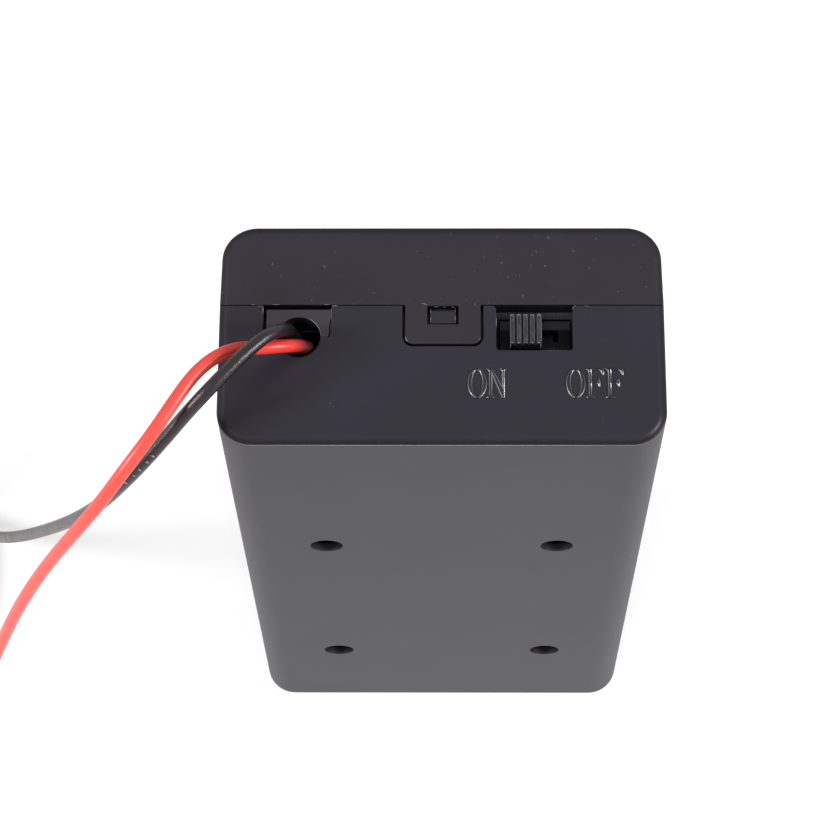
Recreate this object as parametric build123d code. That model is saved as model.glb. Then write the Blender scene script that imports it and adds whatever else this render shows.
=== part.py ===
from build123d import *
import os
from math import atan2, cos, degrees, pi, radians, sin, tan

# A two-cell battery box for AA cells, with a snap lid, a slide switch and two leads.
# It stands on its blind end. X is its width, Z its length with the switch end on top,
# and the base with the four screw holes faces -Y. All sizes are in millimetres.

# Cells and the room that they need
cell_d = 14.5
cell_length = 50.5
cell_clear = 0.5
spring_room = 2.7

# Moulded walls
wall = 1.5
rib_t = 1.0
partition_t = 1.2
long_edge_r = 2.7
end_edge_r = 0.15
case_depth = 11.4
lid_draft = 1.1
hook_pocket = 1.9
compartment_z = 8.1
rib_height = 8.5
rib_top_gap = 0.2
merge = 0.2

# Clearances
seam_gap = 0.08
slot_clear = 0.1
run_clear = 0.1
snap_clear = 0.22

# Base screw holes
screw_d = 2.7
screw_head_d = 4.3
screw_head_depth = 0.8
screw_x = 19.1
screw_z = 29.9
screw_mid_z = 29.65

# Contacts, of nickel-plated strip and wire
strip_t = 0.3
contact_h = 12.0
contact_corner_r = 1.5
contact_side_gap = 1.2
link_bridge_h = 5.0
dimple_r = 2.4
dimple_h = 0.9
tab_w = 2.6
tab_out = 4.6
tab_lift = 1.2
positive_tab_in = 4.0
negative_tab_out = 5.2
spring_wire = 0.6
spring_base_r = 4.1
spring_top_r = 2.2
spring_free = 7.0
spring_pitch = 1.35
spring_seat_gap = 0.02
spring_sides = 8
holder_w = 0.9
holder_t = 1.0

# Lead exit and its notch in the switch end, below the seam
lead_x = -10.9
lead_hole_r = 1.65
lead_hole_land = 0.6
flare_run = 0.6
flare_more_r = 0.3
flare_lean_x = 0.7
flare_lean_y = 0.5
notch_left = 2.73
notch_right = 2.53
notch_depth = 2.6
notch_slant = 0.18
tab_gap_left = 0.25
tab_gap_right = 0.08
tab_gap_top = 0.34
tab_gap_low = 0.03
tab_corner_r = 0.2
notch_rim_r = 0.12
cover_tab_t = 0.4
cover_t = 1.0
cover_right = 7.0
cover_post = 1.2

# Latch in the switch end
latch_x = 0.1
tongue_w = 5.76
tongue_drop = 3.16
tongue_t = 0.8
tongue_r = 0.6
latch_window_w = 2.4
latch_window_drop = 1.55
nub_w = 1.96
nub_drop = 1.44
nub_top_gap = 0.08
nub_ramp = 0.35
latch_backing = 0.8
backing_edge = 0.6
nub_sink = 0.06

# Hooks of the lid, which turn about the seam's edge at the blind end
hook_x = 8.0
hook_w = 3.0
hook_in_r = 2.0
hook_t = 0.9
hook_tip = 75
hook_root = 62
hook_side_gap = 0.15
lip_drop = 1.0
lip_t = 0.5
lip_foot = 0.8
lip_end_gap = 1.6
lip_space = 6.0
lid_rib_rise = 1.6

# Slide switch
switch_x = 7.17
switch_drop = 1.85
switch_travel = 1.5
knob_w = 2.38
knob_h = 2.4
knob_sink = 0.2
knob_ribs = 5
knob_corner_r = 0.12
knob_groove_w = 0.17
knob_groove_depth = 0.3
neck_w = 1.8
neck_h = 0.8
housing_w = 9.0
housing_h = 4.0
housing_depth = 3.8
housing_wall = 0.6
housing_corner_r = 0.3
housing_front_t = 0.8
boss_h = 2.5
boss_w = 5.4
boss_groove = 0.19
boss_groove_depth = 0.4
flange_w = 4.4
flange_t = 1.0
switch_base_t = 0.6
window_left = 4.16
window_right = 10.01
window_drop = 3.72
window_r = 0.3
window_rim_r = 0.3
blade_w = 0.8
blade_t = 0.4
blade_pitch = 2.0
blade_out = 2.7
blade_in = 1.3
clip_length = 2.6
clip_t = 0.2
clip_grip = 0.05
clip_back_gap = 0.5
cradle_t = 1.0
cradle_step = 1.0
cradle_hold = 0.4

# Leads of stranded wire in a plastic jacket
lead_d = 1.05
core_d = 0.55
core_tip_share = 0.3
bare_length = 6.0
arc_share = 0.45
solder_r = 1.2
solder_small_r = 0.75
solder_sink = 0.2
positive_joint_out = 1.8
positive_joint_in = 0.45
jumper_joint_out = 1.5
jumper_joint_in = 0.4
jumper_gap = 0.15
blade_joint_out = 2.1
jumper_blade_gap = 0.55

# Worked out from the above
bay_w = cell_d + cell_clear
inner_w = 2 * bay_w + rib_t
width = inner_w + 2 * wall
thickness = cell_d + cell_clear + 2 * wall
link_z = wall + hook_pocket
bay_start = link_z + strip_t
bay_end = bay_start + cell_length + spring_room
partition_z = bay_end + strip_t
compartment_start = partition_z + partition_t
inner_end = compartment_start + compartment_z
length = inner_end + wall
base_y = -thickness / 2
top_y = thickness / 2
floor_y = base_y + wall
roof_y = top_y - wall
seam_y = base_y + case_depth
bay_x = (bay_w + rib_t) / 2
half_in = inner_w / 2
contact_y = floor_y + slot_clear
contact_w = bay_w - contact_side_gap
inner_r = long_edge_r - wall


def block(x0, x1, y0, y1, z0, z1):
    """A box between two corners."""
    centre = Pos((x0 + x1) / 2, (y0 + y1) / 2, (z0 + z1) / 2)
    return centre * Box(x1 - x0, y1 - y0, z1 - z0)


def along_z(sketch, z0, z1):
    """An end-view outline, drawn in X and Y, made into a bar from z0 to z1."""
    return Pos(0, 0, z0) * extrude(sketch, z1 - z0)


def outline(*points):
    """A flat face through points in X and Y."""
    return make_face(Polyline(*points, close=True))


def round_corners(sketch, keep, radius):
    """Rounds the corners of an outline that keep picks by place."""
    return fillet([v for v in sketch.vertices() if keep(v.X, v.Y)], radius)


def side_outline(points, x0, x1):
    """A bar along X whose side view is drawn in Y and Z."""
    face = make_face(Polyline(*[(0, y, z) for y, z in points], close=True))
    return Pos(x0, 0, 0) * extrude(face, x1 - x0, dir=(1, 0, 0))


def end_edges(solid, z, rim_y):
    """The outer edges of an end face, without the ones on the rim at the seam."""
    flat = [e for e in solid.edges() if abs(e.bounding_box().min.Z - z) < 1e-4]
    flat = [e for e in flat if abs(e.bounding_box().max.Z - z) < 1e-4]
    return [e for e in flat if abs(e.center().Y - rim_y) > 1e-4]


def hook_sector(r_in, r_out, tip, root, x0, x1):
    """Part of a ring about the seam's edge at the blind end, from below to above the seam."""

    def at(radius, angle):
        return (radius * cos(radians(angle)), radius * sin(radians(angle)))

    middle = (root - tip) / 2
    outer = ThreePointArc(at(r_out, -tip), at(r_out, middle), at(r_out, root))
    inner = ThreePointArc(at(r_in, root), at(r_in, middle), at(r_in, -tip))
    ends = [Line(at(r_out, root), at(r_in, root)), Line(at(r_in, -tip), at(r_out, -tip))]
    face = make_face([outer, ends[0], inner, ends[1]])
    place = Plane(origin=(x0, seam_y, 0), x_dir=(0, 0, 1), z_dir=(-1, 0, 0))
    return extrude(place * face, -(x1 - x0))


# Places that both halves share
lead_y = seam_y - notch_depth
notch_x0 = lead_x - notch_left
notch_x1 = lead_x + notch_right
switch_y = seam_y - switch_drop
housing_front = inner_end - slot_clear
housing_back = housing_front - housing_depth
base_back = housing_back - switch_base_t
switch_top = switch_y + housing_h / 2
switch_bottom = switch_y - housing_h / 2
cover_y = seam_y - tab_gap_top - cover_t
hook_out_r = hook_in_r + hook_t
tab_y = floor_y + tab_lift
tab_top = tab_y + strip_t
positive_tab_x = -bay_x + positive_tab_in
negative_tab_x = bay_x + negative_tab_out
lid_low = seam_y + seam_gap


def make_case():
    half = width / 2
    box = outline((-half, base_y), (half, base_y), (half, seam_y), (-half, seam_y))
    case = along_z(round_corners(box, lambda x, y: y < 0, long_edge_r), 0, length)
    case = fillet(end_edges(case, 0, seam_y) + end_edges(case, length, seam_y), end_edge_r)

    hollow = outline(
        (-half_in, floor_y), (half_in, floor_y), (half_in, top_y), (-half_in, top_y)
    )
    hollow = round_corners(hollow, lambda x, y: y < 0, inner_r)
    case -= along_z(hollow, wall, inner_end)

    case += case_ribs()
    case += latch_backing_wall()
    case -= tab_slots()
    case -= end_openings()
    case += latch_nub()
    case -= screw_holes()
    half_slot = hook_w / 2 + hook_side_gap
    for x in (-hook_x, hook_x):
        r_in, r_out = hook_in_r - run_clear, hook_out_r + run_clear
        case -= hook_sector(r_in, r_out, 90, 0, x - half_slot, x + half_slot)
    return case


def case_ribs():
    """Centre rib, partition, plate holders, cover posts and the switch's cradle."""
    rib_top = floor_y + rib_height
    low = floor_y - merge
    part_top = seam_y - rib_top_gap
    ribs = block(-rib_t / 2, rib_t / 2, low, rib_top, bay_start + slot_clear, partition_z)
    cover_x1 = lead_x + cover_right
    partition = block(-half_in, half_in, low, part_top, partition_z, compartment_start)
    rest = block(-half_in, cover_x1 + slot_clear, cover_y, seam_y, partition_z, compartment_start)
    ribs += partition - rest

    # Posts behind the link plate, and small ribs in front of every plate
    centre = rib_t / 2 + holder_w
    places = [
        (-half_in, -half_in + holder_w, part_top),
        (-centre, centre, rib_top),
        (half_in - holder_w, half_in, part_top),
    ]
    ahead = bay_start + slot_clear
    behind = bay_end - slot_clear
    for x0, x1, top in places:
        ribs += block(x0, x1, low, top, wall, link_z - slot_clear / 2)
        ribs += block(x0, x1, low, top, ahead, ahead + holder_t)
        ribs += block(x0, x1, low, top, behind - holder_t, behind)

    # Two posts under the compartment cover, against the end wall
    z0 = inner_end - cover_post
    ribs += block(-half_in, -half_in + cover_post, low, cover_y, z0, inner_end)
    ribs += block(cover_x1 - cover_post, cover_x1, low, cover_y, z0, inner_end)

    # Two stepped ribs carry the switch and stop it from being pushed in
    stop = base_back - slot_clear
    steps = [
        (low, stop - cradle_step),
        (switch_y + cradle_hold, stop - cradle_step),
        (switch_y + cradle_hold, stop),
        (switch_bottom, stop),
        (switch_bottom, inner_end),
        (low, inner_end),
    ]
    for side in (-1, 1):
        x0, x1 = sorted((side * housing_w / 2, side * (housing_w / 2 - cradle_t)))
        ribs += side_outline(steps, switch_x + x0, switch_x + x1)
    return ribs


def latch_backing_wall():
    """The end wall is thicker behind the latch's recess, to carry its nub."""
    half = tongue_w / 2 + snap_clear + backing_edge
    beside_switch = switch_x - housing_w / 2 - slot_clear
    low = seam_y - tongue_drop - 2 * backing_edge
    z0 = inner_end - latch_backing
    x0, x1 = latch_x - half, min(latch_x + half, beside_switch)
    return block(x0, x1, low, seam_y - rib_top_gap, z0, inner_end + merge)


def tab_slots():
    """Slots through the partition's foot for the two solder tabs."""
    slots = Part()
    for x in (positive_tab_x, negative_tab_x):
        half = tab_w / 2 + slot_clear
        y0, y1 = tab_y - slot_clear, tab_y + strip_t + slot_clear
        slots += block(x - half, x + half, y0, y1, partition_z - 1, compartment_start + 1)
    return slots


def end_openings():
    """Wire notch and exit, latch recess and switch window in the switch end."""
    z0, z1 = inner_end - slot_clear, length + 1
    up = seam_y + 1
    notch = rim_opening(
        (notch_x0, lead_y), (notch_x1 - notch_slant, lead_y), notch_x0, notch_x1, notch_rim_r
    )
    cut = along_z(notch, z0, z1) + lead_passage()

    half = tongue_w / 2 + snap_clear
    low = seam_y - tongue_drop - snap_clear
    recess = outline(
        (latch_x - half, low), (latch_x + half, low), (latch_x + half, up), (latch_x - half, up)
    )
    recess = round_corners(recess, lambda x, y: y < seam_y, tongue_r + snap_clear)
    cut += along_z(recess, length - tongue_t - slot_clear, z1)

    low = seam_y - window_drop
    window = rim_opening(
        (window_left, low), (window_right, low), window_left, window_right, window_rim_r
    )
    window = round_corners(window, lambda x, y: y < lead_y, window_r)
    cut += along_z(window, z0, z1)
    return cut


def rim_opening(low_left, low_right, left, right, rim_r):
    """An opening that is cut down from the seam between left and right, with a rounded rim."""
    side, up = 2 * rim_r, seam_y + 1
    opening = outline(
        low_left, low_right, (right, seam_y), (right + side, seam_y), (right + side, up),
        (left - side, up), (left - side, seam_y), (left, seam_y),
    )
    return round_corners(opening, lambda x, y: y == seam_y and left <= x <= right, rim_r)


def lead_passage():
    """The leads' hole. It is round at the face, and widens and leans over on its way in."""
    z0 = length - lead_hole_land
    z1 = inner_end - flare_run
    round_part = Pos(lead_x, lead_y, (z0 + length + 1) / 2) * Cylinder(lead_hole_r, length + 1 - z0)
    mouth = Pos(lead_x, lead_y, z0) * Circle(lead_hole_r)
    inside = Pos(lead_x + flare_lean_x, lead_y - flare_lean_y, z1) * Circle(lead_hole_r + flare_more_r)
    return round_part + loft([inside, mouth])


def latch_nub():
    """The catch on the end wall, with a ramp on the side where the tongue comes down."""
    low = seam_y - nub_drop
    high = seam_y - nub_top_gap
    z0, z1 = length - tongue_t - slot_clear - merge, length - nub_sink
    side = [(low, z0), (low, z1), (high - nub_ramp, z1), (high, z1 - nub_ramp), (high, z0)]
    return side_outline(side, latch_x - nub_w / 2, latch_x + nub_w / 2)


def screw_holes():
    """Four base holes, countersunk from the cells' side."""
    holes = Part()
    standing = (Align.CENTER, Align.CENTER, Align.MIN)
    shank = Cylinder(screw_d / 2, 2 * wall + 2, align=standing)
    head = Cone(screw_d / 2, screw_head_d / 2, screw_head_depth, align=standing)
    for x in (-screw_x / 2, screw_x / 2):
        for z in (screw_mid_z - screw_z / 2, screw_mid_z + screw_z / 2):
            holes += Plane(origin=(x, base_y - 1, z), z_dir=(0, 1, 0)) * shank
            holes += Plane(origin=(x, floor_y - screw_head_depth, z), z_dir=(0, 1, 0)) * head
    return holes


def make_lid():
    half = width / 2
    lean = tan(radians(lid_draft))
    top_half = half - lean * (top_y - seam_y)
    shell = outline((-half, lid_low), (half, lid_low), (top_half, top_y), (-top_half, top_y))
    lid = along_z(round_corners(shell, lambda x, y: y > seam_y + 1, long_edge_r), 0, length)
    lid = fillet(end_edges(lid, 0, lid_low) + end_edges(lid, length, lid_low), end_edge_r)

    roof_half = half_in - lean * (roof_y - seam_y)
    low = seam_y - 1
    hollow = outline(
        (-half_in, low), (half_in, low), (half_in, seam_y), (roof_half, roof_y), (-roof_half, roof_y),
        (-half_in, seam_y),
    )
    hollow = round_corners(hollow, lambda x, y: y > seam_y + 1, inner_r)
    lid -= along_z(hollow, wall, inner_end)
    lid += lid_ribs(roof_half)
    lid += lid_lips()
    lid += latch_tongue()
    back, front = wall - merge, wall + hook_t
    y0 = seam_y + lid_rib_rise
    gusset = [(y0, back), (y0, front), (y0 + hook_t, front), (y0 + 2 * hook_t, back)]
    for x in (-hook_x, hook_x):
        x0, x1 = x - hook_w / 2, x + hook_w / 2
        lid += hook_sector(hook_in_r, hook_out_r, hook_tip, hook_root, x0, x1)
        lid += side_outline(gusset, x0, x1)
    return lid


def lid_ribs(roof_half):
    """A centre rib between the cells and a cross rib over the partition."""
    up = roof_y + merge
    middle = partition_z + partition_t / 2
    ribs = block(-rib_t / 2, rib_t / 2, seam_y + lid_rib_rise, up, wall - merge, middle)
    low = contact_y + contact_h + 2 * rib_top_gap
    ribs += block(-roof_half, roof_half, low, up, middle - rib_t / 2, middle + rib_t / 2)
    return ribs


def lid_lips():
    """Thin lips that slip inside the case's long walls, in three lengths a side."""
    lips = Part()
    first, last = bay_start + lip_end_gap, bay_end - lip_end_gap
    span = (last - first - 2 * lip_space) / 3
    top = seam_y + lip_foot
    for side in (-1, 1):
        outer = side * (half_in - slot_clear)
        inner = side * (half_in - slot_clear - lip_t)
        into_wall = side * (half_in + merge)
        for k in range(3):
            z = first + k * (span + lip_space)
            lips += block(*sorted((outer, inner)), seam_y - lip_drop, top, z, z + span)
            lips += block(*sorted((into_wall, inner)), lid_low, top, z, z + span)
    return lips


def latch_tongue():
    """The snap tongue, flush with the end face, with the window that takes the nub."""
    low, up = seam_y - tongue_drop, lid_low + merge
    x0, x1 = latch_x - tongue_w / 2, latch_x + tongue_w / 2
    tongue = outline((x0, low), (x1, low), (x1, up), (x0, up))
    tongue = round_corners(tongue, lambda x, y: y < seam_y, tongue_r)
    tongue = along_z(tongue, length - tongue_t, length)
    half = latch_window_w / 2
    z0, z1 = length - tongue_t - 1, length + 1
    tongue -= block(latch_x - half, latch_x + half, seam_y - latch_window_drop, seam_y, z0, z1)
    return tongue


def make_cover():
    """Inner cover over the leads' end of the compartment. Its tab fills the wire notch."""
    x0, x1 = -half_in + slot_clear, lead_x + cover_right
    y1 = cover_y + cover_t
    cover = block(x0, x1, cover_y, y1, partition_z + slot_clear, inner_end - slot_clear)
    left = notch_x0 + tab_gap_left
    right_low = notch_x1 - notch_slant - tab_gap_right
    lean = notch_slant * (y1 - lead_y) / notch_depth
    low = lead_y + tab_gap_low
    tab = outline((left, low), (right_low, low), (right_low + lean, y1), (left, y1))
    tab = round_corners(tab, lambda x, y: y < y1 and x > left, tab_corner_r)
    cover += along_z(tab, inner_end - slot_clear - cover_tab_t, length)
    return cover - lead_passage()


def contact_plate(x, z):
    """A plate of strip that stands on the floor across a bay."""
    y0, y1 = contact_y, contact_y + contact_h
    half = contact_w / 2
    plate = outline((x - half, y0), (x + half, y0), (x + half, y1), (x - half, y1))
    plate = round_corners(plate, lambda px, py: py > 0, contact_corner_r)
    return along_z(plate, z, z + strip_t)


def dimple(x, z, facing):
    """A hollow round dome pressed out of a plate whose cell side lies at z."""
    big = (dimple_r**2 + dimple_h**2) / (2 * dimple_h)
    small = big - strip_t
    centre = z - facing * (big - dimple_h)
    dome = Pos(x, 0, centre) * Sphere(big)
    hollow = Pos(x, 0, centre) * Sphere(small)
    half = dimple_r + 1
    z0, z1 = sorted((z, z + facing * (dimple_h + 1)))
    cap = (dome - hollow) & block(x - half, x + half, -half, half, z0, z1)
    return cap, hollow


def make_link_plate():
    """One strip behind both cells, with a dimple for the right one."""
    bridge = block(-bay_x, bay_x, contact_y, contact_y + link_bridge_h, link_z, bay_start)
    plate = contact_plate(-bay_x, link_z) + contact_plate(bay_x, link_z) + bridge
    cap, hollow = dimple(bay_x, bay_start, 1)
    return (plate - hollow) + cap


def make_end_contact(x, tab_x, dimpled):
    """A plate at the partition, with a tab bent through it for the solder joint."""
    plate = contact_plate(x, bay_end)
    if dimpled:
        cap, hollow = dimple(x, bay_end, -1)
        plate = (plate - hollow) + cap
    x0, x1 = tab_x - tab_w / 2, tab_x + tab_w / 2
    gap = block(x0, x1, contact_y - 1, tab_y, bay_end - 1, partition_z + 1)
    tab = block(x0, x1, tab_y, tab_top, bay_end, compartment_start + tab_out)
    return (plate - gap) + tab


def conical_spring(x, z, facing):
    """A coil that stands on a plate and narrows towards the cell, with flats to keep its faces few."""
    height = spring_free - spring_wire
    slope = degrees(atan2(spring_top_r - spring_base_r, height))
    coil = Helix(spring_pitch, height, spring_base_r, cone_angle=slope)
    start = Plane(origin=coil @ 0, z_dir=coil % 0)
    spring = sweep(start * RegularPolygon(spring_wire / 2, spring_sides), path=coil, is_frenet=True)
    turn = Rot(0, 0, 0) if facing > 0 else Rot(180, 0, 0)
    return Pos(x, 0, z + facing * (spring_wire / 2 + spring_seat_gap)) * (turn * spring)


def slider_place():
    """X of the slider's middle in the ON position, as it is built."""
    return switch_x - switch_travel / 2


def make_slider():
    """Ribbed knob, neck and flange, moulded in one."""
    x = slider_place()
    y0, y1 = switch_y - knob_h / 2, switch_y + knob_h / 2
    z0, z1 = housing_front + run_clear, length - knob_sink
    knob = block(x - knob_w / 2, x + knob_w / 2, y0, y1, z0, z1)
    knob = fillet(knob.edges().filter_by(Axis.Z), knob_corner_r)
    pitch = (knob_w + knob_groove_w) / knob_ribs
    for k in range(1, knob_ribs):
        gx = x - knob_w / 2 - knob_groove_w + k * pitch
        knob -= block(gx, gx + knob_groove_w, y0 - 1, y1 + 1, z1 - knob_groove_depth, z1 + 1)
    flange_top = housing_front - housing_front_t - run_clear
    neck = block(
        x - neck_w / 2, x + neck_w / 2, switch_y - neck_h / 2, switch_y + neck_h / 2,
        flange_top - merge, z0 + merge,
    )
    flange_half = housing_h / 2 - housing_wall - run_clear
    flange = block(
        x - flange_w / 2, x + flange_w / 2, switch_y - flange_half, switch_y + flange_half,
        flange_top - flange_t, flange_top,
    )
    return knob + neck + flange


def make_housing():
    """Shell of the switch, open at the back, with a slotted front and a groove round the slot."""
    hx, hy = housing_w / 2, housing_h / 2
    x0, x1 = switch_x - hx, switch_x + hx
    shell = block(x0, x1, switch_bottom, switch_top, housing_back, housing_front)
    shell = fillet(shell.edges().filter_by(Axis.Z), housing_corner_r)
    groove = boss_face(boss_groove) - boss_face(0)
    shell -= along_z(groove, housing_front - boss_groove_depth, housing_front + 1)
    room_x = flange_w / 2 + switch_travel / 2 + run_clear
    room_y = hy - housing_wall
    front = housing_front - housing_front_t
    shell -= block(
        switch_x - room_x, switch_x + room_x, switch_y - room_y, switch_y + room_y,
        housing_back - 1, front,
    )
    slot_x = neck_w / 2 + switch_travel / 2 + run_clear
    slot_y = neck_h / 2 + run_clear
    shell -= block(
        switch_x - slot_x, switch_x + slot_x, switch_y - slot_y, switch_y + slot_y,
        housing_back, housing_front + 1,
    )
    return shell


def boss_face(extra):
    """The raised guide round the slot, seen from the front."""
    return Pos(switch_x, switch_y) * Rectangle(boss_w + 2 * extra, boss_h + 2 * extra)


def make_switch_base():
    """Rear plate of the switch, with a slot for each blade."""
    hx, hy = housing_w / 2, housing_h / 2
    plate = block(switch_x - hx, switch_x + hx, switch_bottom, switch_top, base_back, housing_back)
    for k in (-1, 0, 1):
        plate -= make_blade(k)
    return plate


def make_blade(k):
    """One flat blade through the rear plate. k is -1 for ON, 0 for the common one, 1 for OFF."""
    x = switch_x + k * blade_pitch
    return block(
        x - blade_w / 2, x + blade_w / 2, switch_y - blade_t / 2, switch_y + blade_t / 2,
        base_back - blade_out, housing_back + blade_in,
    )


def make_clip():
    """U-shaped moving contact, whose arms straddle two blades at a time."""
    x = slider_place()
    top = housing_front - housing_front_t - run_clear - flange_t
    arm = blade_t / 2 + clip_grip
    low = housing_back + clip_back_gap
    x0, x1 = x - clip_length / 2, x + clip_length / 2
    back = block(x0, x1, switch_y - arm - clip_t, switch_y + arm + clip_t, top - clip_t, top)
    upper = block(x0, x1, switch_y + arm, switch_y + arm + clip_t, low, top)
    lower = block(x0, x1, switch_y - arm - clip_t, switch_y - arm, low, top)
    return back + upper + lower


# Routes of the wires, as corner points of their centre lines, chosen by hand.
# Each starts at its solder joint. The two leads leave by the hole in the end wall.
red_route = [
    (-4.3, -5.4, 60.2),
    (-6.4, -4.1, 61.4),
    (-7.9, -2.5, 63.3),
    (-9.2, -1.1, 65.9),
    (-10.3, -0.8, 67.6),
    (-11.7, -1.5, 69.4),
    (-13.6, -2.1, 70.3),
    (-15.3, -2.2, 70.6),
    (-17.0, -3.1, 71.0),
    (-18.5, -4.6, 71.2),
    (-19.9, -6.8, 71.2),
    (-21.4, -9.2, 70.9),
    (-23.4, -11.4, 69.5),
    (-25.6, -13.1, 66.5),
    (-28.4, -13.8, 61.0),
    (-31.6, -14.0, 53.5),
    (-35.0, -14.6, 44.6),
    (-38.2, -15.4, 34.4),
    (-41.4, -16.0, 23.8),
    (-44.4, -15.4, 13.6),
    (-46.6, -12.4, 5.2),
    (-47.0, -7.2, 1.2),
    (-46.2, -1.2, 0.6),
    (-46.0, 5.2, 0.6),
    (-47.6, 11.2, 0.6),
    (-50.6, 16.6, 0.6),
]
black_route = [
    (6.7, 1.4, 60.0),
    (3.9, 1.2, 60.0),
    (0.6, 0.2, 59.9),
    (-3.4, -0.7, 60.2),
    (-6.8, -0.8, 61.8),
    (-9.6, -0.4, 64.2),
    (-11.4, 0.2, 67.0),
    (-11.6, -0.2, 69.6),
    (-12.9, -1.4, 71.6),
    (-14.7, -3.2, 72.0),
    (-16.6, -4.6, 70.9),
    (-18.1, -5.0, 68.0),
    (-19.1, -3.3, 62.8),
    (-20.7, -2.8, 57.8),
    (-22.5, -2.9, 53.0),
    (-24.7, -3.0, 48.5),
    (-26.9, -3.6, 44.0),
    (-29.6, -3.4, 38.5),
    (-32.5, -2.5, 31.5),
    (-36.5, -0.4, 23.5),
    (-40.2, 1.8, 15.4),
    (-43.8, 4.4, 7.8),
    (-47.8, 7.6, 2.4),
    (-51.8, 11.4, 0.7),
    (-55.0, 16.0, 0.6),
    (-57.2, 21.4, 0.6),
]
# The short jumper runs from its tab to the ON blade. Its bends are shares of the way in X and Y.
jumper_bends = [(0, 0), (0.36, 0.04), (0.66, 0.28), (0.86, 0.6), (1, 1)]
joint_z = base_back - blade_joint_out
jumper_start = (
    negative_tab_x - jumper_joint_in, tab_top + lead_d / 2 + jumper_gap, compartment_start + jumper_joint_out
)
jumper_end = (switch_x - blade_pitch, switch_y - blade_t / 2 - jumper_blade_gap, joint_z)
jumper_route = [
    tuple(a + (b - a) * share for a, b, share in zip(jumper_start, jumper_end, (across, up, across)))
    for across, up in jumper_bends
]
positive_joint_x = positive_tab_x + positive_joint_in
positive_joint_z = compartment_start + positive_joint_out
negative_joint_x = jumper_start[0] + solder_small_r


def bend_radii(route):
    """The radius of each corner's arc: as large as its two runs allow."""
    points = [Vector(*p) for p in route]
    radii = []
    for a, b, c in zip(points, points[1:], points[2:]):
        turn = radians((b - a).get_angle(c - b))
        shorter = min((b - a).length, (c - b).length)
        radii.append(arc_share * shorter / tan(turn / 2))
    return radii


def make_tube(name, route):
    """A round jacket along its route, as straight runs joined by tangent arcs."""
    radii = bend_radii(route)
    path = FilletPolyline(*route, radius=radii)
    start = Plane(origin=path @ 0, z_dir=path % 0)
    tube = sweep(start * Circle(lead_d / 2), path=path)
    ideal = pi * lead_d**2 / 4 * path.length
    print(name, "radii", [round(r, 1) for r in radii], "length", round(path.length, 1))
    print("  volume", round(tube.volume, 2), "section x length", round(ideal, 2))
    return tube


def make_bare_end(route):
    """The stripped and tinned end of a lead, with its tip rounded by the solder."""
    last, before = Vector(*route[-1]), Vector(*route[-2])
    end = Plane(origin=last, z_dir=last - before)
    core = Cylinder(core_d / 2, bare_length, align=(Align.CENTER, Align.CENTER, Align.MIN))
    core = fillet(core.edges().sort_by(Axis.Z)[-1], core_d * core_tip_share)
    return end * core


def solder_on_tab(tab_x, x, z):
    """A cap of solder on a contact's tab, round the wire's end."""
    ball = Pos(x, tab_top - solder_sink, z) * Sphere(solder_r)
    half = tab_w / 2
    room = block(tab_x - half, tab_x + half, tab_top, tab_top + 2, z - 2, z + 2)
    return ball & room


def solder_on_blade(k, side, z):
    """A cap of solder on one flat of a switch blade. side is 1 for its top, -1 for its underside."""
    x = switch_x + k * blade_pitch
    face = switch_y + side * blade_t / 2
    ball = Pos(x, face - side * solder_sink / 2, z) * Sphere(solder_small_r)
    low, high = sorted((face, face + side * 2))
    return ball & block(x - 1, x + 1, low, high, z - 1, z + 1)


def make_parts():
    red = make_tube("red", red_route)
    black = make_tube("black", black_route)
    jumper = make_tube("jumper", jumper_route)
    parts = {
        "case": make_case(),
        "lid": make_lid(),
        "compartment_cover": make_cover(),
        "link_plate": make_link_plate(),
        "link_spring": conical_spring(-bay_x, bay_start, 1),
        "positive_contact": make_end_contact(-bay_x, positive_tab_x, True),
        "negative_contact": make_end_contact(bay_x, negative_tab_x, False),
        "negative_spring": conical_spring(bay_x, bay_end, -1),
        "switch_slider": make_slider(),
        "switch_housing": make_housing(),
        "switch_base": make_switch_base(),
        "switch_clip": make_clip(),
        "terminal_on": make_blade(-1),
        "terminal_common": make_blade(0),
        "terminal_off": make_blade(1),
        "jumper_wire": jumper,
        "wire_red": red,
        "wire_black": black,
        "red_bare_end": make_bare_end(red_route),
        "black_bare_end": make_bare_end(black_route),
        "solder_positive": solder_on_tab(positive_tab_x, positive_joint_x, positive_joint_z) - red,
        "solder_negative": solder_on_tab(negative_tab_x, negative_joint_x, jumper_start[2]) - jumper,
        "solder_switch": solder_on_blade(-1, -1, joint_z) - jumper,
        "solder_common": solder_on_blade(0, 1, joint_z) - black,
    }
    return parts


os.makedirs("parts", exist_ok=True)
for name, solid in make_parts().items():
    solid.label = name
    export_step(solid, f"parts/{name}.step")
    print(name, len(solid.solids()), round(solid.volume, 2), solid.is_valid)
print("width", width, "thickness", thickness, "length", length)
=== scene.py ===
import math
import random

import bmesh
import bpy
from mathutils import Matrix, Vector


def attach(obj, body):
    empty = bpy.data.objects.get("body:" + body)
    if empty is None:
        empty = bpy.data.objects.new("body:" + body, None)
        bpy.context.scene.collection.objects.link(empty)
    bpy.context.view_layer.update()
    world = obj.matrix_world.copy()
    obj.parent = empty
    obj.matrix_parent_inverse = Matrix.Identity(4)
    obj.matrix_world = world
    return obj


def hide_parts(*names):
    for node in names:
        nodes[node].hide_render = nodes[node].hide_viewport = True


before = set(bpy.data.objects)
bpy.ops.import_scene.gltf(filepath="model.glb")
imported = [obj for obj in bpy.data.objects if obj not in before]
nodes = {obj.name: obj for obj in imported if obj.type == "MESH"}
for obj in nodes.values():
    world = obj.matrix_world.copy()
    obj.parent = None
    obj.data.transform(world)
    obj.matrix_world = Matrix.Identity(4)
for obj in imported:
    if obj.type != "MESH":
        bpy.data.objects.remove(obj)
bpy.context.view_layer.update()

MM = 0.001
scene = bpy.context.scene

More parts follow.
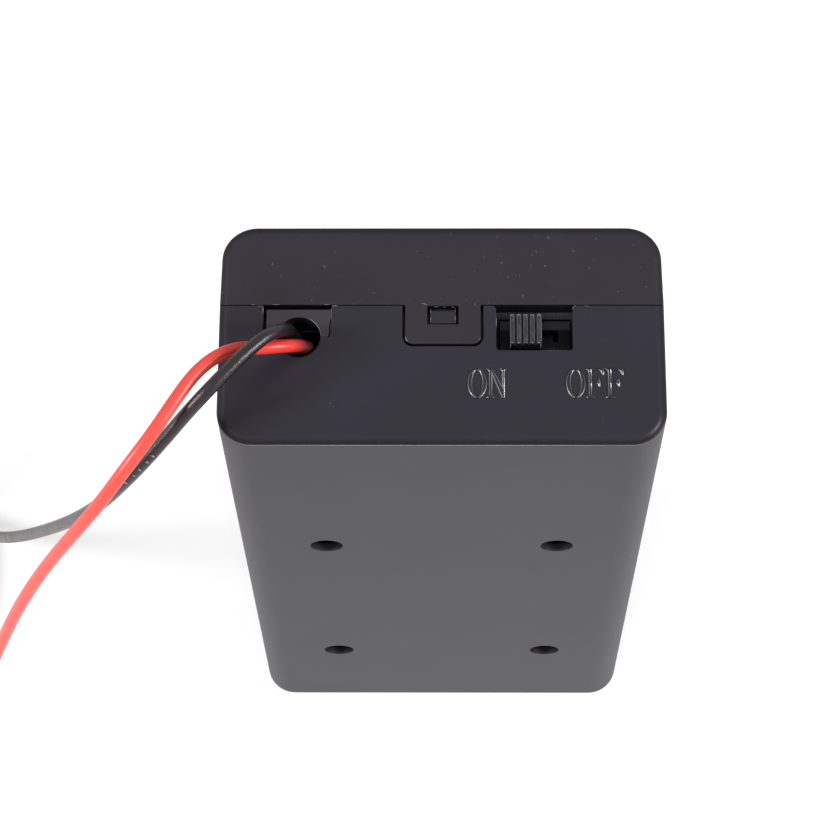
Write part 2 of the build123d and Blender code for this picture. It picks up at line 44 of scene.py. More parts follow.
# Main sizes of the holder in millimetres, as the CAD has them
LENGTH = 68.0
SEAM_Y = 2.4
BASE_Y = -9.0
LEAD_D = 1.05
HALF_W = 17.0
HALF_D = 9.0
CORNER_R = 2.7
CORNER_X = HALF_W - CORNER_R
CORNER_Y = HALF_D - CORNER_R

# The knob's ribs: left side and middle of the first one, step to the next, and height of their tops
RIB_LEFT = 5.23
RIB_MIDDLE = 5.40
RIB_PITCH = 0.51
RIB_COUNT = 5
KNOB_TOP = 67.81


# Materials
class Mat:
    """A principled material, with short calls for the nodes that give it its detail."""

    def __init__(self, name, color, rough=0.5, metallic=0.0, ior=1.5, specular=0.5):
        self.mat = bpy.data.materials.new(name)
        self.mat.use_nodes = True
        self.tree = self.mat.node_tree
        self.bsdf = self.tree.nodes["Principled BSDF"]
        self.set("Base Color", (*color, 1.0))
        self.set("Roughness", rough)
        self.set("Metallic", metallic)
        self.set("IOR", ior)
        self.set("Specular IOR Level", specular)
        self.color = color
        self.height = None

    def set(self, socket, value):
        self.bsdf.inputs[socket].default_value = value

    def node(self, kind, **values):
        n = self.tree.nodes.new(kind)
        for key, value in values.items():
            if key in n.inputs:
                n.inputs[key].default_value = value
            else:
                setattr(n, key, value)
        return n

    def link(self, a, b):
        self.tree.links.new(a, b)

    def coords(self, stretch=(1, 1, 1), turn=(0, 0, 0)):
        """Object coordinates in millimetres, stretched or turned."""
        tex = self.node("ShaderNodeTexCoord")
        mapping = self.node("ShaderNodeMapping")
        mapping.inputs["Scale"].default_value = [1000 * s for s in stretch]
        mapping.inputs["Rotation"].default_value = turn
        self.link(tex.outputs["Object"], mapping.inputs["Vector"])
        return mapping.outputs["Vector"]

    def noise(self, scale, detail=2.0, rough=0.5, stretch=(1, 1, 1), turn=(0, 0, 0)):
        n = self.node("ShaderNodeTexNoise")
        n.inputs["Scale"].default_value = scale
        n.inputs["Detail"].default_value = detail
        n.inputs["Roughness"].default_value = rough
        self.link(self.coords(stretch, turn), n.inputs["Vector"])
        return n.outputs["Fac"]

    def ramp(self, fac, low, high, a=0.0, b=1.0):
        """Maps fac from low..high to a..b."""
        n = self.node("ShaderNodeMapRange")
        n.inputs["From Min"].default_value = low
        n.inputs["From Max"].default_value = high
        n.inputs["To Min"].default_value = a
        n.inputs["To Max"].default_value = b
        self.link(fac, n.inputs["Value"])
        return n.outputs["Result"]

    def math(self, operation, a, b):
        n = self.node("ShaderNodeMath", operation=operation)
        for socket, value in zip(n.inputs, (a, b)):
            if isinstance(value, (int, float)):
                socket.default_value = value
            else:
                self.link(value, socket)
        return n.outputs[0]

    def mix_color(self, fac, other):
        """Blends the base colour towards another one by fac."""
        n = self.node("ShaderNodeMix", data_type="RGBA")
        old = self.bsdf.inputs["Base Color"].links
        if old:
            self.link(old[0].from_socket, n.inputs["A"])
        else:
            n.inputs["A"].default_value = (*self.color, 1.0)
        n.inputs["B"].default_value = (*other, 1.0)
        self.link(fac, n.inputs["Factor"])
        self.link(n.outputs["Result"], self.bsdf.inputs["Base Color"])

    def rough_from(self, fac, low, high):
        self.link(self.ramp(fac, 0.0, 1.0, low, high), self.bsdf.inputs["Roughness"])

    def place(self, axis, low, high, clamp=True):
        """0 to 1 as the object coordinate of that axis goes from low to high, in millimetres."""
        split = self.node("ShaderNodeSeparateXYZ")
        self.link(self.coords(), split.inputs[0])
        share = self.ramp(split.outputs[axis], low, high)
        share.node.clamp = clamp
        return share

    def vector(self, operation, a, b=None):
        n = self.node("ShaderNodeVectorMath", operation=operation)
        for socket, value in zip(n.inputs, (a, b)):
            if isinstance(value, tuple):
                socket.default_value = value
            elif value is not None:
                self.link(value, socket)
        return n.outputs["Value" if operation == "LENGTH" else "Vector"]

    def round_edges(self, radius_mm):
        """Softens the shading at edges, as moulded edges are."""
        n = self.node("ShaderNodeBevel", samples=6)
        n.inputs["Radius"].default_value = radius_mm * MM
        self.height = n.outputs["Normal"]

    def round_end_rim(self, band, most):
        """Leans the end face's normals outwards along its rim, where the real edge is rounder."""
        place = self.coords()
        beyond = self.vector("SUBTRACT", self.vector("ABSOLUTE", place), (CORNER_X, CORNER_Y, 0))
        beyond = self.vector("MULTIPLY", self.vector("MAXIMUM", beyond, (0, 0, 0)), (1, 1, 0))
        lean = self.ramp(self.vector("LENGTH", beyond), CORNER_R - band, CORNER_R, 0.0, most)
        lean = self.math("MULTIPLY", lean, self.place("Z", LENGTH - 0.02, LENGTH - 0.01))
        outward = self.vector("MULTIPLY", self.vector("NORMALIZE", beyond), self.vector("SIGN", place))
        turned = self.node("ShaderNodeVectorTransform", vector_type="VECTOR", convert_from="OBJECT",
                           convert_to="WORLD")
        self.link(outward, turned.inputs[0])
        scaled = self.node("ShaderNodeVectorMath", operation="SCALE")
        self.link(turned.outputs[0], scaled.inputs["Vector"])
        self.link(lean, scaled.inputs["Scale"])
        leaning = self.vector("ADD", self.height, scaled.outputs["Vector"])
        self.height = self.vector("NORMALIZE", leaning)
        self.rim = lean

    def bump(self, fac, strength, distance_mm):
        n = self.node("ShaderNodeBump")
        n.inputs["Strength"].default_value = strength
        n.inputs["Distance"].default_value = distance_mm * MM
        self.link(fac, n.inputs["Height"])
        if self.height:
            self.link(self.height, n.inputs["Normal"])
        self.height = n.outputs["Normal"]
        self.link(self.height, self.bsdf.inputs["Normal"])


def shade(m, inside, strength, color=(0.003, 0.003, 0.004)):
    """Darkens the colour where inside is 1, by the given share."""
    m.mix_color(m.math("MULTIPLY", inside, strength), color)


def moulded(name, color, rough=0.5, specular=0.5, grain=9.0, specks=0.6, speck_from=0.8, edge=0.12,
            end_rim=0.0):
    """Moulded plastic with soft edges, a fine eroded grain, faint cloudy shade and pale dust specks."""
    m = Mat(name, color, rough, specular=specular)
    m.round_edges(edge)
    if end_rim:
        m.round_end_rim(end_rim, 1.8)
    cloud = m.noise(0.12, 3.0)
    m.mix_color(m.ramp(cloud, 0.35, 0.7, 0.0, 0.35), tuple(c * 1.35 + 0.002 for c in color))
    fine = m.noise(grain, 3.0, 0.6)
    m.rough_from(fine, rough - 0.07, rough + 0.09)
    if end_rim:
        grainy = m.bsdf.inputs["Roughness"].links[0].from_socket
        m.link(m.math("SUBTRACT", grainy, m.ramp(m.rim, 0.2, 0.9, 0.0, 0.09)), m.bsdf.inputs["Roughness"])
    m.bump(fine, 0.35, 0.03)
    dust = m.noise(2.6, 1.0, 0.5, turn=(0.4, 0.2, 0.7))
    m.mix_color(m.ramp(dust, speck_from, speck_from + 0.06, 0.0, specks), (0.12, 0.12, 0.12))
    return m


def metal(name, color, rough, brushed=(1, 1, 1), grain=6.0):
    m = Mat(name, color, rough, metallic=1.0)
    lines = m.noise(grain, 2.0, stretch=brushed)
    m.rough_from(lines, rough - 0.08, rough + 0.14)
    m.bump(lines, 0.25, 0.02)
    stain = m.noise(0.5, 3.0)
    m.mix_color(m.ramp(stain, 0.45, 0.75, 0.0, 0.5), tuple(c * 0.75 for c in color))
    return m.mat


def jacket(name, color, rough, specular=0.5, sparkle=0.0):
    """Extruded PVC: faint waviness and scuffs, painted shade that deepens the colour over the box, and painted
    shadow that darkens it in the hole.
    """
    m = Mat(name, color, rough, specular=specular)
    wave = m.noise(0.9, 2.0)
    m.rough_from(wave, rough - 0.08, rough + 0.12)
    m.bump(wave, 0.15, 0.05)
    fine = m.noise(7.0, 2.0)
    m.bump(fine, 0.12, 0.02)
    m.mix_color(m.ramp(wave, 0.45, 0.8, 0.0, 0.3), tuple(c * 0.8 for c in color))
    # Painted shade: the colour deepens over the black box, which throws back less light than the floor
    painted_shade_over_box = m.math("MULTIPLY", m.place("X", -18.0, -14.5), m.place("Z", 60.0, 62.0))
    m.mix_color(painted_shade_over_box, tuple(c ** 1.25 for c in color))
    # Painted shadow on the lead inside the lead hole
    painted_hole_shadow = m.math("MULTIPLY", m.place("X", -12.0, -11.3), m.place("Z", 69.4, 68.2))
    shade(m, painted_hole_shadow, 0.93)
    if sparkle:
        crumbs = m.noise(5.0, 3.0, 0.7)
        m.bump(crumbs, sparkle, 0.05)
        m.mix_color(m.ramp(crumbs, 0.62, 0.72, 0.0, 0.5), (0.06, 0.055, 0.055))
    return m.mat


def seam_shade(m):
    """The narrow gap between case and lid takes no light."""
    near = m.math("MULTIPLY", m.place("Y", SEAM_Y - 0.03, SEAM_Y), m.place("Y", SEAM_Y + 0.12, SEAM_Y + 0.09))
    shade(m, m.math("MULTIPLY", near, m.place("Z", LENGTH - 0.01, LENGTH - 0.03)), 0.9)


def hole_shade(m):
    """Painted shade darkens the lead hole and the room behind it."""
    inside = m.math("MULTIPLY", m.place("X", -13.1, -13.0), m.place("X", -8.5, -8.6))
    inside = m.math("MULTIPLY", inside, m.math("MULTIPLY", m.place("Y", -3.1, -3.0), m.place("Y", 1.95, 1.9)))
    depth = m.math("MULTIPLY", m.place("Z", LENGTH - 0.03, LENGTH - 0.12), m.place("Z", 60.0, 60.1))
    shade(m, m.math("MULTIPLY", inside, depth), 0.97)


black = moulded("black_abs", (0.018, 0.0167, 0.0240), rough=0.44, specular=0.24, edge=0.16, end_rim=0.7)
seam_shade(black)
hole_shade(black)
# Painted shade in a band along the end face's edge towards the base, where the real edge is rounder
shade(black, black.math("MULTIPLY", black.place("Y", -8.35, -8.95), black.place("Z", 67.9, 67.95)), 0.45)
lid_black = moulded("lid_abs", (0.020, 0.0187, 0.0250), rough=0.46, specular=0.24, speck_from=0.74, edge=0.16,
                    end_rim=0.7)
seam_shade(lid_black)
# Painted shade on the lid's faces inside the end face's openings just below the seam, such as the underside of
# its rim
shade(lid_black, lid_black.math("MULTIPLY", lid_black.place("Z", LENGTH - 0.02, LENGTH - 0.1),
                                lid_black.place("Y", SEAM_Y + 0.4, SEAM_Y + 0.2)), 0.85)
cover_black = moulded("cover_abs", (0.031, 0.0295, 0.037), rough=0.46, specular=0.3, edge=0.1)
hole_shade(cover_black)
for m in (black, lid_black, cover_black):
    m.bsdf.inputs["Specular Tint"].default_value = (1.0, 0.935, 0.93, 1.0)
black_abs = black.mat
lid_abs = lid_black.mat
cover_abs = cover_black.mat

# The knob's top is worn pale
slider = moulded("slider_plastic", (0.020, 0.020, 0.022), rough=0.42, specular=0.16, grain=14.0, specks=0.4,
                 edge=0.06)
slider.mix_color(slider.place("Z", 67.45, 67.75), (0.072, 0.072, 0.076))
# Painted highlights: each rib is darkened in its middle, which leaves its edges pale
ribs = slider.place("X", RIB_MIDDLE, RIB_MIDDLE + RIB_PITCH, clamp=False)
across = slider.math("COSINE", slider.math("MULTIPLY", ribs, 2 * math.pi), 0)
slider.mix_color(slider.ramp(across, -0.1, 0.7, 0.0, 0.85), (0.018, 0.018, 0.020))
streaks = slider.noise(5.0, 2.0, 0.6, stretch=(1, 0.3, 0.3))
slider.mix_color(slider.ramp(streaks, 0.5, 0.7, 0.0, 0.5), (0.11, 0.11, 0.115))
# Painted shade on the knob's flank that faces down and on the slider where it sinks into the housing's slot
shade(slider, slider.place("Y", -0.62, -0.65), 0.7)
shade(slider, slider.place("Z", 66.9, 66.6), 0.8)
slider_plastic = slider.mat
rib_edges = nodes["switch_slider"].modifiers.new("soft_edges", "BEVEL")
rib_edges.width = 0.055 * MM
rib_edges.segments = 2
rib_edges.limit_method = "ANGLE"
rib_edges.angle_limit = math.radians(50)
# The housing is pale only in the lit band at the top of the window; below it, painted shadow of the window's
# lower wall darkens it, more so on the right
switch = moulded("switch_plastic", (0.045, 0.0443, 0.053), rough=0.45, specular=0.08, grain=7.0)
shade(switch, switch.place("Y", 1.12, 0.95), 0.62)
shade(switch, switch.math("MULTIPLY", switch.place("X", 8.7, 8.8), switch.place("Y", 1.12, 0.95)), 0.6)
switch_plastic = switch.mat
edges = moulded("letter_edge", (0.016, 0.015, 0.018), rough=0.35, specular=1.0, grain=16.0, specks=0.0,
                edge=0.01)
edges.set("IOR", 1.9)
letter_edge = edges.mat
# Pale threads: flash and burrs, whose pale colour is a painted highlight along the edges they follow
pale_threads_plastic = moulded("pale_threads_plastic", (0.20, 0.20, 0.205), rough=0.4, specular=0.4, grain=16.0, specks=0.0,
                        edge=0.01).mat
base_plate = moulded("base_plate", (0.28, 0.16, 0.08), rough=0.6, grain=5.0, specks=0.1).mat
nickel = metal("nickel_strip", (0.72, 0.70, 0.66), 0.26, brushed=(0.2, 2.0, 2.0))
spring_steel = metal("spring_wire", (0.70, 0.69, 0.66), 0.2)
bronze = metal("bronze", (0.72, 0.50, 0.30), 0.28, brushed=(0.3, 1.5, 1.5))
blade_metal = metal("blade_metal", (0.75, 0.74, 0.70), 0.3, brushed=(2.0, 2.0, 0.3))
solder_metal = metal("solder", (0.62, 0.62, 0.63), 0.24, grain=3.0)
tinned = metal("tinned_core", (0.70, 0.70, 0.70), 0.3, grain=9.0)
red_pvc = jacket("red_jacket", (0.80, 0.085, 0.066), 0.34, specular=0.36)
black_pvc = jacket("black_jacket", (0.016, 0.0075, 0.0105), 0.29, specular=0.46, sparkle=0.6)

LOOKS = {
    "case": black_abs, "lid": lid_abs, "compartment_cover": cover_abs,
    "switch_slider": slider_plastic, "switch_housing": switch_plastic, "switch_base": base_plate,
    "switch_clip": bronze, "link_plate": nickel, "positive_contact": nickel, "negative_contact": nickel,
    "link_spring": spring_steel, "negative_spring": spring_steel,
    "terminal_on": blade_metal, "terminal_common": blade_metal, "terminal_off": blade_metal,
    "solder_positive": solder_metal, "solder_negative": solder_metal, "solder_switch": solder_metal,
    "solder_common": solder_metal, "jumper_wire": black_pvc, "wire_red": red_pvc, "wire_black": black_pvc,
    "red_bare_end": tinned, "black_bare_end": tinned,
}


def wear(obj, material):
    if obj.material_slots:
        for s in obj.material_slots:
            s.material = material
    else:
        obj.data.materials.append(material)


for name, material in LOOKS.items():
    wear(nodes[name], material)


# Pale threads: moulding flash and burrs, and painted highlights along edges
def pale_threads(name, body, threads):
    """Pale threads, standing for moulding flash and burrs and for painted highlights along edges: each a line
    of points and a thickness, thin at both ends.
    """
    rng = random.Random(name)
    bm = bmesh.new()
    for points, thick in threads:
        path = [Vector(p) for p in points]
        fine = []
        for a, b in zip(path, path[1:]):
            steps = max(1, int((b - a).length / 0.12))
            fine += [a.lerp(b, k / steps) for k in range(steps)]
        fine.append(path[-1])
        rings = []
        for k, point in enumerate(fine):
            ahead = fine[min(k + 1, len(fine) - 1)] - fine[max(k - 1, 0)]
            across = ahead.cross(Vector((0, 0, 1)))
            if across.length < 1e-6:
                across = Vector((1, 0, 0))
            across.normalize()
            rise = ahead.cross(across).normalized()
            share = min(1.0, 0.35 + 2.5 * min(k, len(fine) - 1 - k) / len(fine))
            r = thick / 2 * share * rng.uniform(0.7, 1.25)
            ring_points = (point + across * r, point + rise * r, point - across * r, point - rise * r)
            rings.append([bm.verts.new(q * MM) for q in ring_points])
        for low, high in zip(rings, rings[1:]):
            for j in range(4):
                bm.faces.new((low[j], low[(j + 1) % 4], high[(j + 1) % 4], high[j]))
        bm.faces.new(rings[0])
        bm.faces.new(rings[-1])
    bmesh.ops.recalc_face_normals(bm, faces=bm.faces)
    mesh = bpy.data.meshes.new(name)
    bm.to_mesh(mesh)
    bm.free()
    mesh.materials.append(pale_threads_plastic)
    obj = bpy.data.objects.new(name, mesh)
    scene.collection.objects.link(obj)
    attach(obj, body)
    return obj


# Leads
# The control points of each lead's centre line, in millimetres, as the CAD has them. The black one's
# middle is moved towards the photograph, where it stays closer to the red one.
RED_ROUTE = [
    (-4.3, -5.4, 60.2), (-6.4, -4.1, 61.4), (-7.9, -2.5, 63.3), (-9.2, -1.1, 65.9), (-10.3, -0.8, 67.6),
    (-11.7, -1.5, 69.4), (-13.6, -2.1, 70.3), (-15.3, -2.2, 70.6), (-17.0, -3.1, 71.0), (-18.5, -4.6, 71.2),
    (-19.9, -6.8, 71.2), (-21.4, -9.2, 70.9), (-23.4, -11.4, 69.5), (-25.6, -13.1, 66.5),
    (-28.4, -13.8, 61.0), (-31.6, -14.0, 53.5), (-35.0, -14.6, 44.6), (-38.2, -15.4, 34.4),
    (-41.4, -16.0, 23.8), (-44.4, -15.4, 13.6), (-46.6, -12.4, 5.2), (-47.0, -7.2, 1.2), (-46.2, -1.2, 0.6),
    (-46.0, 5.2, 0.6), (-47.6, 11.2, 0.6), (-50.6, 16.6, 0.6),
]
BLACK_ROUTE = [
    (6.7, 1.4, 60.0), (3.9, 1.2, 60.0), (0.6, 0.2, 59.9), (-3.4, -0.7, 60.2), (-6.8, -0.8, 61.8),
    (-9.6, -0.4, 64.2), (-11.4, 0.2, 67.0), (-11.6, -0.2, 69.6), (-12.9, -1.4, 71.5), (-14.50, -2.98, 71.8),
    (-16.02, -4.66, 71.85), (-17.59, -6.32, 71.55), (-19.17, -7.45, 70.02), (-20.83, -8.64, 68.14),
    (-22.59, -9.82, 66.17), (-24.60, -10.54, 63.08), (-26.90, -10.41, 58.18), (-30.11, -8.81, 50.10),
    (-33.99, -6.04, 39.69), (-38.04, -2.76, 28.62), (-42.25, 1.37, 16.81), (-45.6, 5.6, 4.4), (-47.8, 7.6, 2.4),
    (-51.8, 11.4, 0.7), (-55.0, 16.0, 0.6), (-57.2, 21.4, 0.6),
]


def lead(name, route, material):
    curve = bpy.data.curves.new(name, "CURVE")
    curve.dimensions = "3D"
    spline = curve.splines.new("NURBS")
    spline.points.add(len(route) - 1)
    for point, (x, y, z) in zip(spline.points, route):
        point.co = (x * MM, y * MM, z * MM, 1.0)
    spline.order_u = 3
    spline.use_endpoint_u = True
    curve.resolution_u = 12
    curve.bevel_depth = LEAD_D / 2 * MM
    curve.bevel_resolution = 6
    curve.use_fill_caps = True
    obj = bpy.data.objects.new(name, curve)
    scene.collection.objects.link(obj)
    curve.materials.append(material)
    return obj


red_lead = lead("red_lead", RED_ROUTE, red_pvc)
black_lead = lead("black_lead", BLACK_ROUTE, black_pvc)
for piece, node, colour in ((red_lead, "wire_red", "red_jacket"), (black_lead, "wire_black", "black_jacket")):
    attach(piece, "box")
    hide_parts(node)


def scuffs(name, lead_obj, places, start, end, thick):
    """Short pale scuffs across a lead at the given X, on its surface from start to end in degrees."""
    line = lead_obj.data.copy()
    line.bevel_depth = 0
    holder = bpy.data.objects.new(name + "_line", line)
    middle = [v.co / MM for v in bpy.data.meshes.new_from_object(holder).vertices]
    bpy.data.objects.remove(holder)
    upper = [k for k in range(1, len(middle) - 1) if middle[k].z > 40]
    threads = []
    for x in places:
        k = min(upper, key=lambda i: abs(middle[i].x - x))
        along = (middle[k + 1] - middle[k - 1]).normalized()
        low = along.cross(Vector((0, 0, 1))).normalized()
        if low.y > 0:
            low = -low
        high = low.cross(along).normalized()
        if high.z < 0:
            high = -high
        r = LEAD_D / 2
        points = []
        for j in range(5):
            turn = math.radians(start + (end - start) * j / 4)
            points.append(middle[k] + (low * math.cos(turn) + high * math.sin(turn)) * r)
        threads.append((points, thick))
    return pale_threads(name, "box", threads)


black_scuffs = scuffs("black_lead_scuffs", black_lead, (-21.70, -22.22, -22.75, -23.28, -23.8), 26, 54, 0.2)


# Raised lettering at the switch: height, foot, rise and edge in millimetres, and a squash along Z
LETTER_H = 2.46
BASELINE_Y = -5.27
LETTER_RISE = 0.13
LETTER_EDGE = 0.075
LETTER_SLOPE = 0.78


def ring(half_w, half_h, count=40):
    """Points of an ellipse centred at half the letter height."""
    turns = [2 * math.pi * k / count for k in range(count)]
    return [(half_w * math.cos(a), LETTER_H / 2 + half_h * math.sin(a)) for a in turns]


def letter_o():
    return [ring(0.75, LETTER_H / 2), ring(0.37, LETTER_H / 2 - 0.19)]


def letter_n():
    h = LETTER_H
    return [[
        (0, 0), (0.57, 0), (0.57, 0.15), (0.47, 0.18), (0.43, 0.28), (0.43, h - 0.60), (1.15, 0), (1.38, 0),
        (1.38, h - 0.28), (1.42, h - 0.18), (1.52, h - 0.15), (1.52, h), (1.00, h), (1.00, h - 0.15),
        (1.11, h - 0.18), (1.15, h - 0.28), (1.15, 1.02), (0.45, h), (0, h), (0, h - 0.15),
        (0.11, h - 0.18), (0.16, h - 0.30), (0.16, 0.28), (0.12, 0.18), (0, 0.15),
    ]]


def letter_f():
    h = LETTER_H
    return [[
        (0, 0), (0.66, 0), (0.66, 0.15), (0.50, 0.20), (0.44, 0.32), (0.44, 1.19), (0.78, 1.19), (0.88, 1.10),
        (0.92, 0.90), (1.08, 0.90), (1.08, 1.66), (0.92, 1.66), (0.88, 1.46), (0.78, 1.36), (0.44, 1.36),
        (0.44, h - 0.17), (0.96, h - 0.17), (1.12, h - 0.29), (1.22, h - 0.60), (1.38, h - 0.60), (1.36, h),
        (0, h), (0, h - 0.15), (0.12, h - 0.18), (0.17, h - 0.30), (0.17, 0.32), (0.12, 0.20), (0, 0.15),
    ]]


def raised(name, outlines, x, body, material, edge_material):
    """A letter raised from the end face: flat top in one material, sloping edges in another.

    Edges that face straight up or down the letter keep the top's material, because they catch no light."""
    curve = bpy.data.curves.new(name, "CURVE")
    curve.dimensions = "2D"
    curve.fill_mode = "BOTH"
    for points in outlines:
        spline = curve.splines.new("POLY")
        spline.points.add(len(points) - 1)
        for point, (px, py) in zip(spline.points, points):
            point.co = ((x + px) * MM, (BASELINE_Y + py) * MM, 0, 1)
        spline.use_cyclic_u = True
    curve.extrude = (LETTER_RISE - LETTER_EDGE) * MM
    curve.bevel_depth = LETTER_EDGE * MM
    curve.bevel_resolution = 0
    curve.offset = -LETTER_EDGE * MM
    shape = bpy.data.objects.new(name + "_shape", curve)
    mesh = bpy.data.meshes.new_from_object(shape)
    bpy.data.objects.remove(shape)
    mesh.name = name
    mesh.materials.clear()
    mesh.materials.append(material)
    mesh.materials.append(edge_material)
    for face in mesh.polygons:
        level = math.hypot(face.normal.x, face.normal.y)
        face.material_index = 0 if level < 0.2 or abs(face.normal.y) > 0.95 * level else 1
    mesh.transform(Matrix.Translation((0, 0, LENGTH * MM)) @ Matrix.Diagonal((1, 1, LETTER_SLOPE, 1)))
    obj = bpy.data.objects.new(name, mesh)
    scene.collection.objects.link(obj)
    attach(obj, body)
    return obj


for name, outlines, x in (
    ("letter_on_o", letter_o(), 2.70),
    ("letter_on_n", letter_n(), 3.41),
    ("letter_off_o", letter_o(), 10.15),
    ("letter_off_f", letter_f(), 10.93),
    ("letter_off_ff", letter_f(), 12.41),
):
    raised(name, outlines, x, "box", black_abs, letter_edge)


# Burrs of the moulding, and painted highlights along edges, as pale threads
def arc(cx, cy, z, r, start, end, count=12):
    """Points of an arc in the end face's plane, from start to end in degrees."""
    turns = [math.radians(start + (end - start) * k / count) for k in range(count + 1)]
    return [(cx + r * math.cos(a), cy + r * math.sin(a), z) for a in turns]


END = LENGTH + 0.005
BASE_LINE_Z = LENGTH - 0.13
# Pale threads on the case: a parting line with nicks along the base edge, and burrs along the window, the
# tongue's gap and the lead tab; their pale colour is painted highlight along these edges
base_line = (arc(-CORNER_X, -CORNER_Y, BASE_LINE_Z, CORNER_R, 195, 270)
             + arc(CORNER_X, -CORNER_Y, BASE_LINE_Z, CORNER_R, 270, 345))
case_threads = [
    (base_line, 0.07),
    ([(4.165, 1.55, END), (4.17, 1.1, END), (4.165, 0.6, END)], 0.05),
    (arc(10.31, 2.10, END, 0.3, 180, 95), 0.05),
    ([(7.6, -1.34, END), (9.5, -1.34, END)], 0.012),
    ([(-13.70, 2.36, END), (-13.66, 2.05, END), (-13.68, 1.7, END)], 0.06),
    ([(-14.1, 2.39, END), (-13.75, 2.38, END)], 0.05),
    ([(-8.40, 2.30, END), (-8.33, 2.39, END), (-7.95, 2.40, END)], 0.06),
    ([(-8.42, 2.2, END), (-8.47, 1.2, END)], 0.04),
]
for nick in (6.85, 8.15, 8.4, 11.05, 11.45, 11.75, 12.1, 14.0, 14.3):
    case_threads.append(([(nick, BASE_Y - 0.01, 67.94), (nick + 0.1, BASE_Y, 67.86)], 0.10))
case_threads += [
    ([(-0.84, 2.15, END), (-0.83, 1.75, END)], 0.03), ([(-0.84, 1.45, END), (-0.82, 1.02, END)], 0.04),
    ([(1.04, 2.20, END), (1.04, 1.85, END)], 0.03), ([(1.03, 1.60, END), (1.03, 1.05, END)], 0.04),
    ([(-0.6, 2.29, END), (-0.2, 2.30, END)], 0.03), ([(0.1, 2.29, END), (0.35, 2.30, END)], 0.035),
    ([(0.75, 2.28, END), (1.0, 2.26, END)], 0.04), ([(10.9, 2.37, END), (11.3, 2.36, END)], 0.03),
]
pale_threads("case_flash", "box", case_threads)
# Burrs along the seam, and pale arcs at the tongue's two lower corners that are painted highlights
pale_threads("lid_flash", "cover", [
    ([(-12.95, 2.50, END), (-12.4, 2.50, END)], 0.05),
    ([(-9.0, 2.50, END), (-8.6, 2.50, END)], 0.045),
    ([(-14.6, 2.50, END), (-14.3, 2.49, END)], 0.05),
    ([(-1.55, 2.62, END), (-1.05, 2.45, END)], 0.05),
    (arc(-2.18, -0.16, END, 0.58, 182, 232), 0.07),
    (arc(2.38, -0.16, END, 0.58, 318, 352), 0.035),
    ([(1.35, 2.42, END), (1.40, 2.55, END)], 0.035),
])
# Pale threads on the knob: painted highlights on the ends of its ribs and down its side edges, and a nick at
# its top right corner
knob_threads = []
for k in range(RIB_COUNT):
    x = RIB_LEFT + k * RIB_PITCH
    rib_top = [(x + 0.03, 1.62, KNOB_TOP), (x + 0.09, 1.72, KNOB_TOP + 0.01), (x + 0.25, 1.73, KNOB_TOP + 0.01),
               (x + 0.31, 1.62, KNOB_TOP)]
    rib_foot = [(x + 0.04, -0.60, KNOB_TOP + 0.01), (x + 0.28, -0.61, KNOB_TOP + 0.01)]
    knob_threads.append((rib_top, 0.08))
    knob_threads.append((rib_foot, 0.07 if k != 2 else 0.04))
knob_threads += [
    ([(7.42, 1.84, 67.80), (7.50, 1.72, KNOB_TOP), (7.60, 1.62, KNOB_TOP)], 0.09),
    ([(7.60, 1.55, KNOB_TOP), (7.605, -0.5, KNOB_TOP)], 0.045),
    ([(5.26, -0.66, 67.76), (5.26, -0.66, 66.9)], 0.07), ([(7.57, -0.66, 67.76), (7.57, -0.66, 66.9)], 0.07),
]
pale_threads("knob_flash", "slider", knob_threads)
# A pale thread along part of the lead hole's rim
pale_threads("cover_flash", "box", [(arc(-10.9, -0.2, END, 1.69, 64, 6), 0.05)])


# Floor, light and camera
def plane(name, size, z):
    mesh = bpy.data.meshes.new(name)
    bm = bmesh.new()
    bmesh.ops.create_grid(bm, x_segments=1, y_segments=1, size=size / 2)
    bm.to_mesh(mesh)
    bm.free()
    obj = bpy.data.objects.new(name, mesh)
    obj.location.z = z
    scene.collection.objects.link(obj)
    return obj


def seen_directly(tree):
    """1 for camera, glossy and transmission rays, else 0."""
    path = tree.nodes.new("ShaderNodeLightPath")
    total = None
    for out in ("Is Camera Ray", "Is Glossy Ray", "Is Transmission Ray"):
        if total is None:
            total = path.outputs[out]
            continue
        most = tree.nodes.new("ShaderNodeMath")
        most.operation = "MAXIMUM"
        tree.links.new(total, most.inputs[0])
        tree.links.new(path.outputs[out], most.inputs[1])
        total = most.outputs[0]
    return total


floor = plane("floor", 4.0, -0.0002)
floor_mat = bpy.data.materials.new("floor")
floor_mat.use_nodes = True
tree = floor_mat.node_tree
bsdf = tree.nodes["Principled BSDF"]
bsdf.inputs["Base Color"].default_value = (0.62, 0.62, 0.62, 1)
bsdf.inputs["Roughness"].default_value = 1.0
bsdf.inputs["Specular IOR Level"].default_value = 0.0
bsdf.inputs["Emission Color"].default_value = (1, 1, 1, 1)
# Far from the lamps the floor gives the rest of its white itself
spot = tree.nodes.new("ShaderNodeTexCoord")
away = tree.nodes.new("ShaderNodeVectorMath")
away.operation = "LENGTH"
tree.links.new(spot.outputs["Object"], away.inputs[0])
glow = tree.nodes.new("ShaderNodeMapRange")
glow.inputs["From Min"].default_value = 0.3
glow.inputs["From Max"].default_value = 1.1
glow.inputs["To Min"].default_value = 0.5
glow.inputs["To Max"].default_value = 1.0
tree.links.new(away.outputs["Value"], glow.inputs["Value"])
scale = tree.nodes.new("ShaderNodeMath")
scale.operation = "MULTIPLY"
tree.links.new(seen_directly(tree), scale.inputs[0])
tree.links.new(glow.outputs["Result"], scale.inputs[1])
tree.links.new(scale.outputs[0], bsdf.inputs["Emission Strength"])
floor.data.materials.append(floor_mat)

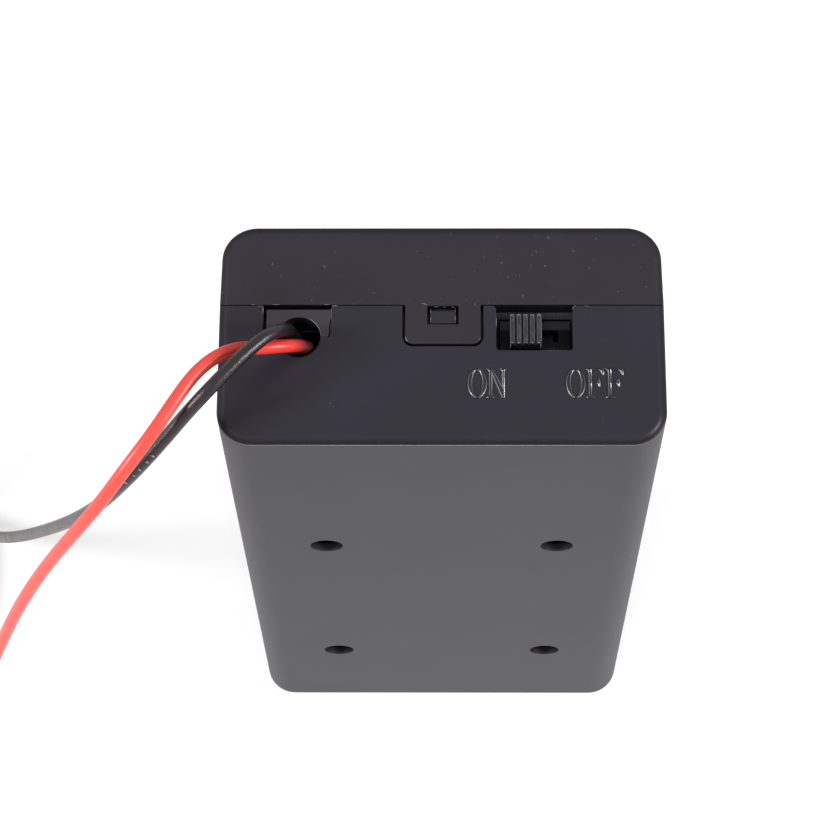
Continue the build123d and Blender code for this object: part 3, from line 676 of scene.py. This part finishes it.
world = bpy.data.worlds.new("studio")
scene.world = world
world.use_nodes = True
tree = world.node_tree
back = tree.nodes["Background"]
back.inputs["Color"].default_value = (1, 1, 1, 1)
strength = tree.nodes.new("ShaderNodeMapRange")
strength.inputs["To Min"].default_value = 0.19
strength.inputs["To Max"].default_value = 1.0
tree.links.new(seen_directly(tree), strength.inputs["Value"])
tree.links.new(strength.outputs["Result"], back.inputs["Strength"])


def softbox(name, place, aim, size, power):
    light = bpy.data.lights.new(name, "AREA")
    light.shape = "RECTANGLE"
    light.size, light.size_y = size
    light.energy = power
    obj = bpy.data.objects.new(name, light)
    scene.collection.objects.link(obj)
    obj.location = place
    obj.rotation_euler = (Vector(aim) - Vector(place)).to_track_quat("-Z", "Y").to_euler()
    return obj


# The key lights the base, and the two side boxes the edges that face left and right
END_FACE = (0, 0, 0.068)
key = softbox("key_box", (-0.03, -0.622, 0.4875), END_FACE, (0.45, 0.06), 2.4)
key.visible_glossy = False
softbox("left_box", (-0.652, -0.115, 0.42), END_FACE, (0.14, 0.2), 4.6)
softbox("right_box", (0.645, -0.15, 0.42), END_FACE, (0.14, 0.2), 4.8)

# The camera stands where the photograph was taken from
CAMERA_AT = (0, -0.08234, 0.25902)
FOCAL_PX = 2728.0
FRAME_PX = 823.0
TILT = math.radians(21.69)
YAW = math.radians(0.625)
forward = Vector((0, math.sin(TILT), -math.cos(TILT)))
up = Vector((0, math.cos(TILT), math.sin(TILT)))
right = forward.cross(up)
look = (forward * math.cos(YAW) - right * math.sin(YAW)).normalized()
side = look.cross(up).normalized()
camera = bpy.data.cameras.new("camera")
camera.sensor_width = 36.0
camera.sensor_fit = "HORIZONTAL"
camera.lens = camera.sensor_width * FOCAL_PX / FRAME_PX
camera.shift_x = -0.35 / FRAME_PX
camera.shift_y = 0.5 / FRAME_PX
camera.clip_start = 0.01
camera.clip_end = 10.0
camera_obj = bpy.data.objects.new("camera", camera)
scene.collection.objects.link(camera_obj)
rotation = Matrix((side, up, -look)).transposed()
camera_obj.matrix_world = Matrix.Translation(CAMERA_AT) @ rotation.to_4x4()
scene.camera = camera_obj
scene.view_settings.view_transform = "Standard"
